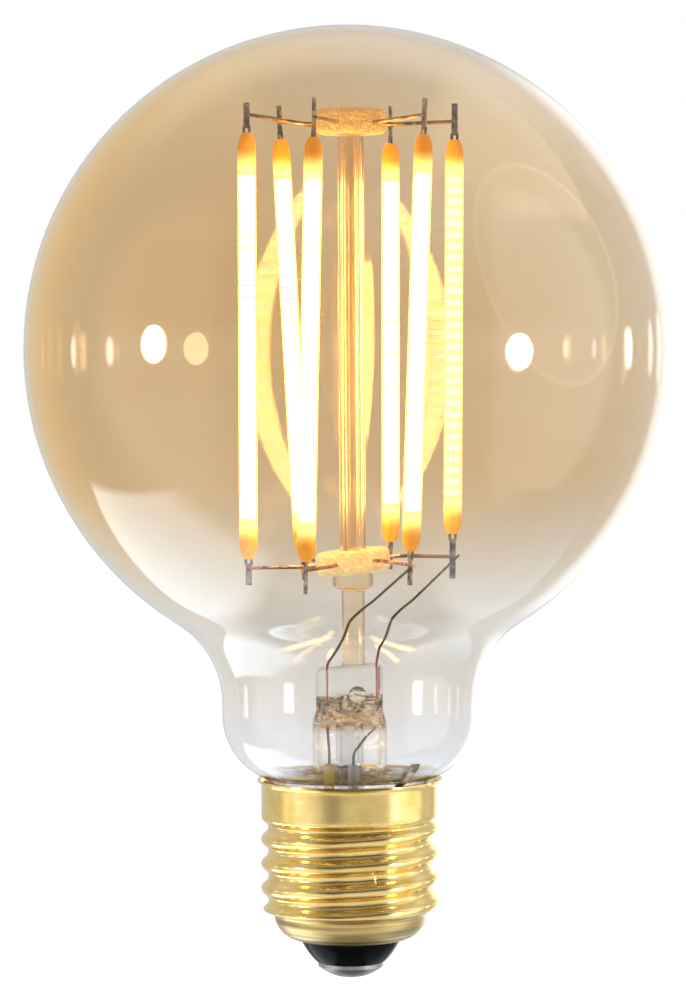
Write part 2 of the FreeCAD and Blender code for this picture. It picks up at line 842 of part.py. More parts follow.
def lower_arm(filament, side):
    bend = hub_exit(filament.bottom_angle, lower_hub_diameter, lower_hub_middle, lower_hub_tilt)
    end = filament.lower_weld(side, weld_offset) + filament.outward * link_overrun
    return [bend, end]


def make_link(first_arm, second_arm, middle_height):
    """A hairpin of wire from one tab into the hub, round the pillar and out to the next tab."""
    middle = mount_place + Vector(0, 0, middle_height)
    points = [first_arm[1], first_arm[0], middle, second_arm[0], second_arm[1]]
    return round_wire(points, [link_bend_radius, hairpin_radius, link_bend_radius], link_diameter)


def make_stay(filament, arm):
    """A wire from inside the lower hub to a tab that a lead feeds."""
    foot_reach = upper_pillar_diameter / 2 + link_radius + stay_foot_gap
    middle = mount_place + Vector(0, 0, lower_hub_middle)
    foot = middle + (arm[0] - middle).normalize() * foot_reach
    return round_wire([foot, arm[0], arm[1]], [link_bend_radius], link_diameter)


def lead_end(filament, overrun, come_from):
    """Where a lead ends, past the tab that it is welded to."""
    weld = filament.lower_weld(-1, lead_weld_offset, lead_weld_drop)
    return weld + (weld - come_from).normalize() * overrun


def make_lead(filament, overrun, rise, pinch_side, foot_angle):
    """A lead from the board up through the pinch, and by its free bends to a tab."""
    foot = ring_direction(foot_angle) * lead_foot_reach
    sleeve_bend = board_top + sleeve_length + sleeve_bend_gap
    in_pinch = Vector(pinch_side, 0, 0)
    points = [
        foot + Vector(0, 0, board_bottom),
        foot + Vector(0, 0, sleeve_bend),
        in_pinch + Vector(0, 0, stem_ceiling - pinch_corner),
    ] + rise
    points.append(lead_end(filament, overrun, rise[-1]))
    return round_wire(points, [lead_bend_radius] * (len(points) - 2), lead_diameter)


def make_sleeve(foot_angle):
    """A tube slipped over a lead, down to the board."""
    foot = ring_direction(foot_angle) * lead_foot_reach + Vector(0, 0, board_top)
    tube = Part.makeCylinder(sleeve_diameter / 2, sleeve_length, foot)
    return tube.cut(Part.makeCylinder(lead_diameter / 2, sleeve_length, foot))


def make_side_strip():
    """A ribbon from the board up past the throat, along the collar's wall and out on the glass."""
    half = strip_thickness / 2
    low = board_top + half
    inner = throat_radius + throat_clearance / 2
    outer = collar_bore_radius - strip_gap - half
    jog_low = thread_top - strip_jog
    jog_high = thread_top + strip_jog
    on_glass = neck_turn_radius + half + strip_gap
    bend = strip_bend_radius
    bend_radius = outer + bend
    bend_drop = math.sqrt((on_glass + bend) ** 2 - (bend_radius - neck_turn_middle.x) ** 2)
    bend_middle = section_point(bend_radius, neck_turn_middle.z - bend_drop)
    bend_start = section_point(outer, bend_middle.z)
    meets_glass = neck_turn_middle + (bend_middle - neck_turn_middle).normalize() * on_glass
    start_turn = math.atan2(meets_glass.z - neck_turn_middle.z, meets_glass.x - neck_turn_middle.x)
    end_turn = start_turn + math.radians(strip_tail_turn)
    tail = neck_turn_middle + section_point(on_glass * math.cos(end_turn), on_glass * math.sin(end_turn))
    points = [
        section_point(inner - strip_foot, low),
        section_point(inner, low),
        section_point(inner, jog_low),
        section_point(outer, jog_high),
        bend_start,
    ]
    edges = rounded_run(points, [bend, bend, bend])
    edges.append(arc_about(bend_middle, bend_start, meets_glass))
    edges.append(arc_about(neck_turn_middle, meets_glass, tail))
    start = points[0]
    wide = strip_width / 2
    corners = [
        start + Vector(0, -wide, -half),
        start + Vector(0, wide, -half),
        start + Vector(0, wide, half),
        start + Vector(0, -wide, half),
    ]
    strip = swept(edges, Part.makePolygon(corners + corners[:1]))
    strip.rotate(Vector(0, 0, 0), Vector(0, 0, 1), strip_angle - 90)
    return strip


def make_capacitor():
    """A radial can with its crimp, hung below the board by its two pins."""
    radius = capacitor_diameter / 2
    top = capacitor_top
    foot = top - capacitor_height
    crimp = top - crimp_height
    points = [
        section_point(0, foot),
        section_point(radius, foot),
        section_point(radius, crimp - crimp_depth),
        section_point(radius - crimp_depth, crimp),
        section_point(radius, crimp + crimp_depth),
        section_point(radius, top),
        section_point(0, top),
    ]
    soft = crimp_depth / 2
    can = turned(rounded_run(points, [0, capacitor_round, soft, soft, soft, soft, 0], True))
    pin_length = board_top + pin_stub - top
    for side in (-0.5, 0.5):
        pin = Part.makeCylinder(pin_diameter / 2, pin_length, Vector(0, side * capacitor_pin_pitch, top))
        can = can.fuse(pin)
    return can.translated(Vector(-capacitor_reach, 0, 0))


def make_package(length, width, height, legs, leg_pitch, place):
    """A moulded chip under the board, with bent legs along two sides."""
    low = board_bottom - package_stand_off - height
    body = Part.makeBox(length, width, height, Vector(-length / 2, -width / 2, low))
    leg_middle = low + height / 2
    for side in (-1, 1):
        edge = side * width / 2
        knee = edge + side * leg_reach
        for leg in range(legs):
            left = (leg - (legs - 1) / 2) * leg_pitch - leg_width / 2
            outline = [
                Vector(left, edge, leg_middle - leg_thickness / 2),
                Vector(left, knee, leg_middle - leg_thickness / 2),
                Vector(left, knee, board_bottom),
                Vector(left, knee - side * leg_thickness, board_bottom),
                Vector(left, knee - side * leg_thickness, leg_middle + leg_thickness / 2),
                Vector(left, edge, leg_middle + leg_thickness / 2),
            ]
            leg_face = Part.Face(Part.makePolygon(outline + outline[:1]))
            body = body.fuse(leg_face.extrude(Vector(leg_width, 0, 0)))
    return body.removeSplitter().translated(place)


def make_fuse_resistor():
    """An axial resistor across the board's underside, with its leads bent up through the board."""
    half = resistor_length / 2
    axis_height = board_bottom - resistor_drop
    end = resistor_diameter / 2
    waist = resistor_waist / 2
    cap_end = half - resistor_diameter / 2
    points = [
        section_point(0, -half),
        section_point(end, -half),
        section_point(end, -cap_end),
        section_point(waist, waist - cap_end),
        section_point(waist, cap_end - waist),
        section_point(end, cap_end),
        section_point(end, half),
        section_point(0, half),
    ]
    soft = (end - waist) * 2
    body = turned(rounded_run(points, [0, soft, soft, soft, soft, soft, soft, 0], True))
    body.rotate(Vector(0, 0, 0), Vector(0, 1, 0), 90)
    body = body.translated(Vector(0, 0, axis_height))
    knee = half + resistor_lead_gap
    wire_points = [
        Vector(-knee, 0, board_top + pin_stub),
        Vector(-knee, 0, axis_height),
        Vector(knee, 0, axis_height),
        Vector(knee, 0, board_top + pin_stub),
    ]
    wire = round_wire(wire_points, [resistor_bend_radius] * 2, pin_diameter)
    return body.fuse(wire).removeSplitter().translated(resistor_place)


def make_contact_wire():
    points = [
        Vector(0, 0, shank_floor),
        Vector(0, 0, shank_height + contact_wire_rise),
        contact_wire_foot + Vector(0, 0, shank_height + contact_wire_rise + contact_wire_slope),
        contact_wire_foot + Vector(0, 0, board_top + pin_stub),
    ]
    return round_wire(points, [contact_wire_bend] * 2, contact_wire_diameter)


def make_driver_board(through):
    radius = root_bore_radius - board_clearance
    board = Part.makeCylinder(radius, board_thickness, Vector(0, 0, board_bottom))
    for piece in through:
        board = board.cut(piece)
    return board


# Assembly, from the cap up
pieces = {}
pieces["cap_shell"] = make_cap_shell()
pieces["cap_insulator"] = make_cap_insulator()
pieces["centre_contact"] = make_centre_contact()
pieces["contact_wire"] = make_contact_wire()
pieces["capacitor"] = make_capacitor()
pieces["driver_chip"] = make_package(
    chip_length, chip_width, chip_height, chip_legs, chip_leg_pitch, chip_place
)
pieces["bridge_rectifier"] = make_package(
    bridge_length, bridge_width, bridge_height, bridge_legs, bridge_leg_pitch, bridge_place
)
pieces["fuse_resistor"] = make_fuse_resistor()
pieces["side_strip"] = make_side_strip()
pieces["glass_envelope"] = make_glass_envelope()
pieces["basing_cement"] = make_basing_cement(make_envelope_body(), pieces["side_strip"])

filaments = [Filament(number) for number in range(filament_count)]
for number, filament in enumerate(filaments, start=1):
    top_tab = make_tab(top_tab_reaches[number - 1])
    top_tab.Placement = filament.top_place()
    bottom_tab = make_tab(bottom_tab_reaches[number - 1])
    bottom_tab.Placement = filament.bottom_place()
    strip = make_filament(filament.length)
    strip.Placement = filament.upright()
    pieces[f"top_tab_{number}"] = top_tab
    pieces[f"bottom_tab_{number}"] = bottom_tab
    pieces[f"led_filament_{number}"] = strip.cut(top_tab).cut(bottom_tab)

# The filaments are in series: one lead feeds the third, links pass the current on round the ring, by turns
# at the top and at the bottom, and the other lead takes it from the fourth
first_fed = filament_count // 2 - 1
series = [(first_fed - step) % filament_count for step in range(filament_count)]
steps = list(zip(series, series[1:]))
upper_pairs = steps[0::2]
lower_pairs = steps[1::2]
fed = [series[0], series[-1]]
upper_wires = []
lower_wires = []


def side_towards(first, second):
    """The side of the first filament's tab that faces the second."""
    return 1 if (second - first) % filament_count == 1 else -1


for number, (first, second) in enumerate(upper_pairs, start=1):
    first_arm = upper_arm(filaments[first], side_towards(first, second))
    second_arm = upper_arm(filaments[second], side_towards(second, first))
    link = make_link(first_arm, second_arm, upper_hub_middle - upper_link_drop)
    link = link.cut(pieces[f"top_tab_{first + 1}"]).cut(pieces[f"top_tab_{second + 1}"])
    pieces[f"upper_link_{number}"] = link
    upper_wires.append(link)

for number, (first, second) in enumerate(lower_pairs, start=1):
    first_arm = lower_arm(filaments[first], side_towards(first, second))
    second_arm = lower_arm(filaments[second], side_towards(second, first))
    link = make_link(first_arm, second_arm, lower_hub_middle)
    link = link.cut(pieces[f"bottom_tab_{first + 1}"]).cut(pieces[f"bottom_tab_{second + 1}"])
    pieces[f"lower_link_{number}"] = link
    lower_wires.append(link)

for number, place in enumerate(fed, start=1):
    stay = make_stay(filaments[place], lower_arm(filaments[place], 1))
    stay = stay.cut(pieces[f"bottom_tab_{place + 1}"])
    pieces[f"lower_stay_{number}"] = stay
    lower_wires.append(stay)

# The leads' free bends, as they stand between the pinch and the tabs, measured from the pinch's top
left_side = left_lead_inset - pinch_width / 2
right_side = pinch_width / 2 - right_lead_inset
pinch_rise = Vector(0, 0, pinch_top)
left_rise = [
    pinch_rise + Vector(left_side, 0, left_lead_start_rise),
    pinch_rise + Vector(left_side + left_lead_bend_right, -left_lead_bend_front, left_lead_bend_rise),
    pinch_rise + Vector(left_side + left_lead_knee_right, -left_lead_knee_front, left_lead_knee_rise),
]
right_rise = [
    pinch_rise + Vector(right_side, 0, right_lead_start_rise),
    pinch_rise + Vector(right_side + right_lead_bend_right, 0, right_lead_bend_rise),
    pinch_rise + Vector(right_side + right_lead_knee_right, right_lead_knee_back, right_lead_knee_rise),
]
left_lead = make_lead(filaments[fed[0]], left_lead_overrun, left_rise, left_side, left_lead_foot_angle)
right_lead = make_lead(filaments[fed[1]], right_lead_overrun, right_rise, right_side, right_lead_foot_angle)
pieces["lead_wire_left"] = left_lead.cut(pieces[f"bottom_tab_{fed[0] + 1}"])
pieces["lead_wire_right"] = right_lead.cut(pieces[f"bottom_tab_{fed[1] + 1}"])
pieces["lead_sleeve_left"] = make_sleeve(left_lead_foot_angle)
pieces["lead_sleeve_right"] = make_sleeve(right_lead_foot_angle)
through_board = [left_lead, right_lead]
for name in ("contact_wire", "capacitor", "fuse_resistor"):
    through_board.append(pieces[name])
pieces["driver_board"] = make_driver_board(through_board)

pieces["stem_flare"] = make_stem_flare([left_lead, right_lead])
pieces["exhaust_tube"] = make_exhaust_tube()
pieces["lower_pillar"] = make_lower_pillar(pieces["stem_flare"])
upper_rod = make_upper_rod(upper_pillar_diameter)
pieces["upper_pillar"] = upper_rod.cut(make_upper_rod(upper_pillar_bore))
pieces["lower_hub"] = make_hub(
    lower_hub_diameter,
    lower_hub_height,
    lower_hub_middle,
    lower_hub_tilt,
    [pieces["lower_pillar"], upper_rod] + lower_wires,
)
pieces["upper_hub"] = make_hub(
    upper_hub_diameter, upper_hub_height, upper_hub_middle, 0, [upper_rod] + upper_wires
)

os.makedirs("parts", exist_ok=True)
for name, piece in pieces.items():
    piece.exportStep(f"parts/{name}.step")
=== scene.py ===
import math

import bmesh
import bpy
from mathutils import Matrix, Vector


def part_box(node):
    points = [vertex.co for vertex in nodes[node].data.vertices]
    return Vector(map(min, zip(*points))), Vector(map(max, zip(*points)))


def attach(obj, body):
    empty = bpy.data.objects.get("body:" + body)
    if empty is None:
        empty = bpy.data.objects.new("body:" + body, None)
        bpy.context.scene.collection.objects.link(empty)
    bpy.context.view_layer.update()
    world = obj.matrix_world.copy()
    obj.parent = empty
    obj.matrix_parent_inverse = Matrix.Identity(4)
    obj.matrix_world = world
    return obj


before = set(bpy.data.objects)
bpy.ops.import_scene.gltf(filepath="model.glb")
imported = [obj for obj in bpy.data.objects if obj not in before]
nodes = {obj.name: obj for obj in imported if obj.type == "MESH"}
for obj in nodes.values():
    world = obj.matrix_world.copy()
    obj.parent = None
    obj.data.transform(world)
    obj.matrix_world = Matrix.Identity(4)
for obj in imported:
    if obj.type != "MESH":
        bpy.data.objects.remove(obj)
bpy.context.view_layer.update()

# Cap shell: one cup of thin brass sheet, drawn, then rolled to its thread between two wheels.
# It is bright, with fine lines round it from the wheels and a brown film in places.
# Its bowl is duller, with rings from the drawing die.
brass_light = (0.86, 0.64, 0.255, 1)
brass_film = (0.72, 0.50, 0.13, 1)
brass_dull = (0.58, 0.43, 0.19, 1)
brass_dark = (0.36, 0.26, 0.10, 1)
film_size = 0.0035
wheel_lines = (60, 60, 9000)
wheel_line_depth = 0.00002
die_rings = (30, 30, 2600)
bowl_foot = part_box("cap_shell")[0].z
bowl_full = bowl_foot + 0.0028
bowl_end = bowl_foot + 0.0048


class Shade:
    """A socket of a node tree. Sums on it are plain Python, and add the nodes that work them out."""

    def __init__(self, tree, socket=None):
        self.tree = tree
        self.socket = socket

    def node(self, kind, settings=(), inputs=(), out=0):
        """Adds a node: its settings first, then the values or links of its sockets."""
        made = self.tree.nodes.new(kind)
        for name, value in dict(settings).items():
            setattr(made, name, value)
        for name, value in dict(inputs).items():
            if isinstance(value, Shade):
                self.tree.links.new(value.socket, made.inputs[name])
            else:
                made.inputs[name].default_value = value
        return Shade(self.tree, made.outputs[out] if made.outputs else None)

    def math(self, operation, *values):
        return self.node("ShaderNodeMath", {"operation": operation}, dict(enumerate(values)))

    def __add__(self, other):
        return self.math("ADD", self, other)

    def __sub__(self, other):
        return self.math("SUBTRACT", self, other)

    def __rsub__(self, other):
        return self.math("SUBTRACT", other, self)

    def __mul__(self, other):
        return self.math("MULTIPLY", self, other)

    __radd__ = __add__
    __rmul__ = __mul__

    def __abs__(self):
        return self.math("ABSOLUTE", self)

    def __gt__(self, limit):
        return self.math("GREATER_THAN", self, limit)

    def least(self, other):
        return self.math("MINIMUM", self, other)

    def most(self, other):
        return self.math("MAXIMUM", self, other)

    def between(self, low, high):
        """0 at the low value, 1 at the high one, and a smooth rise from one to the other."""
        limits = {"Value": self, "From Min": low, "From Max": high}
        return self.node("ShaderNodeMapRange", {"interpolation_type": "SMOOTHSTEP"}, limits)

    def colours(self, first, second):
        """The first colour where this is 0 and the second where it is 1."""
        return self.node("ShaderNodeMix", {"data_type": "RGBA"}, {0: self, 6: first, 7: second}, 2)

    def ways(self, first, second):
        """The first direction where this is 0 and the second where it is 1."""
        return self.node("ShaderNodeMix", {"data_type": "VECTOR"}, {0: self, 4: first, 5: second}, 1)

    def shaders(self, first, second):
        """The first shader where this is 0 and the second where it is 1."""
        return self.node("ShaderNodeMixShader", {}, {0: self, 1: first, 2: second})

    def place(self):
        """Where a point of the surface is in the part's own frame, in metres."""
        return self.node("ShaderNodeTexCoord", out="Object")

    def axis(self, name):
        return self.node("ShaderNodeSeparateXYZ", {}, {0: self}, name)

    def cloud(self, size, detail):
        """A soft noise of this size over a place."""
        return self.node("ShaderNodeTexNoise", {}, {"Vector": self, "Scale": 1 / size, "Detail": detail})

    def vector(self, operation, *values):
        return self.node("ShaderNodeVectorMath", {"operation": operation}, dict(enumerate(values)))

    def stretched(self, scales):
        return self.vector("MULTIPLY", self, scales)

    def unit(self):
        return self.vector("NORMALIZE", self)

    def scaled(self, size):
        return self.node("ShaderNodeVectorMath", {"operation": "SCALE"}, {0: self, "Scale": size})

    def length(self):
        return self.node("ShaderNodeVectorMath", {"operation": "LENGTH"}, {0: self}, "Value")

    def toward(self, way):
        """1 where this direction is the same as the other one, and 0 square to it."""
        return self.node("ShaderNodeVectorMath", {"operation": "DOT_PRODUCT"}, {0: self, 1: way}, "Value")

    def turned_away(self, low, high):
        """Rises from 0 to 1 as a wall turns from square on to edge on."""
        return self.node("ShaderNodeLayerWeight", {}, {"Blend": 0.5}, "Facing").between(low, high)

    def ray(self, kind):
        """1 for a ray of this kind, and 0 for the others."""
        return self.node("ShaderNodeLightPath", out=f"Is {kind} Ray")

    def bump(self, distance, strength):
        depths = {"Height": self, "Distance": distance, "Strength": strength}
        return self.node("ShaderNodeBump", {}, depths)

    def surface(self, **inputs):
        """A plain surface, its sockets named with _ for a space."""
        named = {name.replace("_", " "): value for name, value in inputs.items()}
        return self.node("ShaderNodeBsdfPrincipled", {}, named)

    def tinted(self, colour):
        """What is behind, straight through this colour."""
        return self.node("ShaderNodeBsdfTransparent", {}, {"Color": colour})

    def show(self):
        self.node("ShaderNodeOutputMaterial", {}, {"Surface": self})


def new_finish(name):
    finish = bpy.data.materials.new(name)
    finish.use_nodes = True
    finish.node_tree.nodes.clear()
    return finish, Shade(finish.node_tree)


def dress(finish, *names):
    for name in names:
        nodes[name].data.materials.clear()
        nodes[name].data.materials.append(finish)


rolled_brass, shade = new_finish("rolled_brass")
place = shade.place()
film = place.cloud(film_size, 4).between(0.40, 0.80)
lines = place.stretched(wheel_lines).cloud(1, 3)
rings = place.stretched(die_rings).cloud(1, 2).between(0.42, 0.60)
in_bowl = 1 - place.axis("Z").between(bowl_full, bowl_end)
rolled = film.colours(brass_light, brass_film)
drawn = rings.colours(brass_dull, brass_dark)
shade.surface(
    Base_Color=in_bowl.colours(rolled, drawn),
    Metallic=1.0,
    Roughness=0.10 + lines * 0.10 + film * 0.08 + in_bowl * 0.16,
    Normal=lines.bump(wheel_line_depth, 0.6),
).show()
dress(rolled_brass, "cap_shell")

# Cap insulator: black glass, melted into the mouth of the cap round the shank of the contact.
# It is smooth and glossy, with shallow marks of the mould.
glass_black = (0.001, 0.001, 0.001, 1)
mark_black = (0.003, 0.003, 0.003, 1)
mould_mark_size = 0.002
mould_mark_depth = 0.0001

black_glass, shade = new_finish("black_glass")
marks = shade.place().cloud(mould_mark_size, 3)
shade.surface(
    Base_Color=marks.colours(glass_black, mark_black),
    Roughness=0.05 + marks * 0.10,
    IOR=1.3,
    Specular_IOR_Level=0.10,
    Normal=marks.bump(mould_mark_depth, 0.12),
).show()
dress(black_glass, "cap_insulator")

# Centre contact: a pressed plate with a tin skin and a hollow shank, held by the glass of the insulator.
# It is dull where it was handled, and scratched by a holder's spring.
tin_bright = (0.46, 0.44, 0.42, 1)
tin_dull = (0.24, 0.23, 0.22, 1)
handled_size = 0.0014
scratch_stretch = (900, 120, 120)
scratch_depth = 0.00003

tinned_plate, shade = new_finish("tinned_plate")
place = shade.place()
handled = place.cloud(handled_size, 4)
scratches = place.stretched(scratch_stretch).cloud(1, 2)
shade.surface(
    Base_Color=handled.colours(tin_bright, tin_dull),
    Metallic=1.0,
    Roughness=0.22 + handled * 0.25,
    Normal=scratches.bump(scratch_depth, 0.4),
).show()
dress(tinned_plate, "centre_contact")

# Driver board: a round of glass fibre laminate under white mask, which lies across the cap inside the thread.
# The woven cloth shows faintly through the mask.
mask_white = (0.80, 0.79, 0.72, 1)
mask_stained = (0.70, 0.66, 0.54, 1)
mask_stain_size = 0.004
weave_pitch = 0.0006
weave_depth = 0.00001

masked_board, shade = new_finish("masked_board")
place = shade.place()
weave = place.node("ShaderNodeTexChecker", {}, {"Vector": place, "Scale": 1 / weave_pitch}, "Fac")
stain = place.cloud(mask_stain_size, 3)
shade.surface(
    Base_Color=stain.colours(mask_white, mask_stained),
    Roughness=0.35 + stain * 0.2,
    Normal=weave.bump(weave_depth, 0.4),
).show()
dress(masked_board, "driver_board")

# Capacitor and chips: a drawn can in a shrunk black sleeve, hung below the board by its two pins, and two
# blocks of black moulded resin with a fine grain, on bent legs under the board.
sleeve_black = (0.02, 0.02, 0.025, 1)
sleeve_grey = (0.06, 0.06, 0.07, 1)
crease_stretch = (1, 1, 0.2)
crease_size = 0.0012
crease_depth = 0.00005
resin_black = (0.025, 0.025, 0.028, 1)
resin_grey = (0.06, 0.06, 0.06, 1)
grain_size = 0.00012
grain_depth = 0.00002

sleeved_can, shade = new_finish("sleeved_can")
creases = shade.place().stretched(crease_stretch).cloud(crease_size, 3)
shade.surface(
    Base_Color=creases.colours(sleeve_black, sleeve_grey),
    Roughness=0.2 + creases * 0.2,
    Normal=creases.bump(crease_depth, 0.3),
).show()
dress(sleeved_can, "capacitor")

chip_resin, shade = new_finish("chip_resin")
grain = shade.place().cloud(grain_size, 2)
shade.surface(
    Base_Color=grain.colours(resin_black, resin_grey),
    Roughness=0.45 + grain * 0.2,
    Normal=grain.bump(grain_depth, 0.5),
).show()
dress(chip_resin, "driver_chip", "bridge_rectifier")

# Fuse resistor: a ceramic rod dipped in blue-grey lacquer, uneven where it ran before it set.
# It lies across the underside of the board, with its two leads bent up through it.
lacquer_dark = (0.20, 0.36, 0.40, 1)
lacquer_light = (0.30, 0.46, 0.48, 1)
lacquer_run_size = 0.0015
lacquer_run_depth = 0.00006

lacquer, shade = new_finish("resistor_lacquer")
runs = shade.place().cloud(lacquer_run_size, 3)
shade.surface(
    Base_Color=runs.colours(lacquer_dark, lacquer_light),
    Roughness=0.25 + runs * 0.2,
    Normal=runs.bump(lacquer_run_depth, 0.3),
).show()
dress(lacquer, "fuse_resistor")

# Side strip and contact wire: bright rolled ribbon and drawn wire, tinned, with brown spots of flux.
# The strip goes from the board up along the collar and out on the glass, and the wire down into the contact.
strip_bright = (0.52, 0.46, 0.38, 1)
flux_brown = (0.25, 0.19, 0.13, 1)
flux_size = 0.0016
rolling_stretch = (2500, 2500, 300)
rolling_depth = 0.00001

tinned_strip, shade = new_finish("tinned_strip")
place = shade.place()
flux = place.cloud(flux_size, 4).between(0.30, 0.54)
rolling = place.stretched(rolling_stretch).cloud(1, 2)
shade.surface(
    Base_Color=flux.colours(strip_bright, flux_brown),
    Metallic=1.0,
    Roughness=0.22 + rolling * 0.15 + flux * 0.2,
    Normal=rolling.bump(rolling_depth, 0.4),
).show()
dress(tinned_strip, "side_strip", "contact_wire")

# Stem and exhaust tube: clear drawn glass, softened in the flame and pressed flat at the top while hot.
# The surface keeps long shallow draw lines, lamp light goes straight through it, the edges of the pinch are
# rounded, with painted shade along them, and the glass has a painted amber reflection where it turns edge on.
# Its foot has painted gold and brown swirls of reflected amber light.
glass_index = 1.5
stem_clear = (0.97, 0.965, 0.95, 1)
# Painted amber reflection for glass seen edge on.
stem_edge_reflection = (0.80, 0.61, 0.36, 1)
stem_light = (0.95, 0.95, 0.94, 1)
# Painted gold and brown swirls of amber light, reflected at the foot of the pinch.
reflected_gold = (1.0, 0.80, 0.42, 1)
reflected_brown = (0.60, 0.30, 0.11, 1)
swirl_size = 0.0016
swirl_foot = 0.0374
swirl_full = 0.0382
swirl_top = 0.0406
block_full = 0.0428
draw_stretch = (700, 700, 40)
fold_stretch = (1, 1, 2)
fold_size = 0.0022
fold_depth = 0.0005
# Painted shade along the rounded edges of the pinch.
pinch_edge_shade = (0.60, 0.53, 0.52, 1)
pinch_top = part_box("stem_flare")[1].z
pinch_half = 0.0049
pinch_slope = 0.102
pinch_round = 0.0007


def clear_glass(shade, colour, way, straight):
    """Smooth glass for what is seen, and a plain tint for the light that falls straight through it."""
    seen = shade.surface(
        Base_Color=colour,
        Roughness=0.0,
        IOR=glass_index,
        Transmission_Weight=1.0,
        Normal=way,
    )
    lights = shade.ray("Shadow").most(shade.ray("Diffuse"))
    return lights.shaders(seen, straight)


pinch_glass, shade = new_finish("pinch_glass")
place = shade.place()
side = place.axis("X")
height = place.axis("Z")
draw = place.stretched(draw_stretch).cloud(1, 2)
folds = place.stretched(fold_stretch).cloud(fold_size, 3).between(0.40, 0.62)
blotches = place.stretched(fold_stretch).cloud(swirl_size, 3).between(0.52, 0.64)
in_block = height.between(swirl_top, block_full)
in_foot = height.between(swirl_foot, swirl_full) * (1 - in_block)
from_side = pinch_half - abs(side)
from_top = pinch_top - height - (pinch_half - side) * pinch_slope
edge = (1 - from_side.least(from_top).between(0.0, pinch_round)) * in_block
# Painted amber reflection where the glass turns edge on.
clear = shade.turned_away(0.35, 0.90).colours(stem_clear, stem_edge_reflection)
# Painted swirls of reflected amber light at the foot.
reflected_swirls = (in_foot * 0.85).colours(clear, blotches.colours(reflected_gold, reflected_brown))
# Painted shade along the rounded edges of the pinch.
edge_shaded_glass = (edge * 0.8).colours(reflected_swirls, pinch_edge_shade)
wavy = (draw * 0.08 + folds * in_foot - edge * 1.6).bump(fold_depth, 0.5)
clear_glass(shade, edge_shaded_glass, wavy, shade.tinted(stem_light)).show()
dress(pinch_glass, "stem_flare", "exhaust_tube")

# Pillars: a glass tube and a glass rod, fused to the hubs and the pinch.
# Light from the filaments runs inside their walls; it is painted on as amber, with painted shade where a wall
# turns away.
pillar_painted_amber_light = (0.99, 0.86, 0.67, 1)
pillar_edge_shade = (0.72, 0.42, 0.16, 1)
pillar_light = (0.96, 0.93, 0.88, 1)
draw_depth = 0.00004

pillar_glass, shade = new_finish("pillar_glass")
draw = shade.place().stretched(draw_stretch).cloud(1, 2)
# Painted amber light, with painted shade where the wall turns away.
lit_wall = shade.turned_away(0.25, 0.82).colours(pillar_painted_amber_light, pillar_edge_shade)
clear_glass(shade, lit_wall, draw.bump(draw_depth, 0.5), shade.tinted(pillar_light)).show()
dress(pillar_glass, "lower_pillar", "upper_pillar")

# Lead wires: thin steel wire, dark from the flame, with a copper skin where it is sealed in the pinch.
# They come up from the board through the pinch, and are welded to two of the lower tabs.
steel_brown = (0.20, 0.14, 0.09, 1)
steel_burnt = (0.07, 0.045, 0.03, 1)
burnt_steel_size = 0.0012
seal_copper = (0.42, 0.15, 0.08, 1)
copper_foot = 0.0375
copper_fade = 0.001

lead_metal, shade = new_finish("lead_metal")
place = shade.place()
height = place.axis("Z")
above_foot = height.between(copper_foot - copper_fade, copper_foot)
in_pinch = above_foot * (1 - height.between(pinch_top, pinch_top + copper_fade))
blotches = place.cloud(burnt_steel_size, 4)
shade.surface(
    Base_Color=in_pinch.colours(blotches.colours(steel_brown, steel_burnt), seal_copper),
    Metallic=1.0,
    Roughness=0.20 + blotches * 0.25,
).show()
dress(lead_metal, "lead_wire_left", "lead_wire_right")

# Lead sleeves: a yellow sleeve of woven fibre on one lead and a milky clear tube on the other.
# They were slipped over the leads, down to the board, to keep them from touching.
fibre_dark = (0.72, 0.48, 0.08, 1)
fibre_light = (0.86, 0.66, 0.20, 1)
thread_stretch = (1, 1, 2)
thread_size = 0.0004
thread_depth = 0.0001
milk_dark = (0.86, 0.85, 0.82, 1)
milk_light = (0.95, 0.94, 0.92, 1)
milk_stretch = (1, 1, 0.15)
milk_size = 0.0008

woven_sleeve, shade = new_finish("woven_sleeve")
threads = shade.place().stretched(thread_stretch).cloud(thread_size, 2)
shade.surface(
    Base_Color=threads.colours(fibre_dark, fibre_light),
    Roughness=0.6,
    Normal=threads.bump(thread_depth, 0.6),
).show()
dress(woven_sleeve, "lead_sleeve_left")

milky_tube, shade = new_finish("milky_tube")
milk = shade.place().stretched(milk_stretch).cloud(milk_size, 2)
shade.surface(
    Base_Color=milk.colours(milk_dark, milk_light),
    Roughness=0.25 + milk * 0.15,
    IOR=1.4,
    Transmission_Weight=0.6,
).show()
dress(milky_tube, "lead_sleeve_right")

# Hubs: beads of glass powder, sintered round the pillar and the wires, full of small bubbles that sparkle.
# A painted glow stands for the light that they catch from the filaments, more on the lower one than the upper
# one.
bead_amber = (1.0, 0.80, 0.46, 1)
bead_pale = (1.0, 0.92, 0.72, 1)
weak_glow = (0.28, 0.165, 0.03, 1)
full_glow = (0.50, 0.46, 0.24, 1)
weak_glow_height = 0.118
full_glow_height = 0.066
patch_size = 0.0018
grit_size = 0.0004
bubble_size = 0.0005
bubble_depth = 0.0005

bead_glass, shade = new_finish("bead_glass")
place = shade.place()
bubbles = place.node("ShaderNodeTexVoronoi", {}, {"Vector": place, "Scale": 1 / bubble_size}, "Distance")
grit = place.cloud(grit_size, 3)
patches = place.cloud(patch_size, 3)
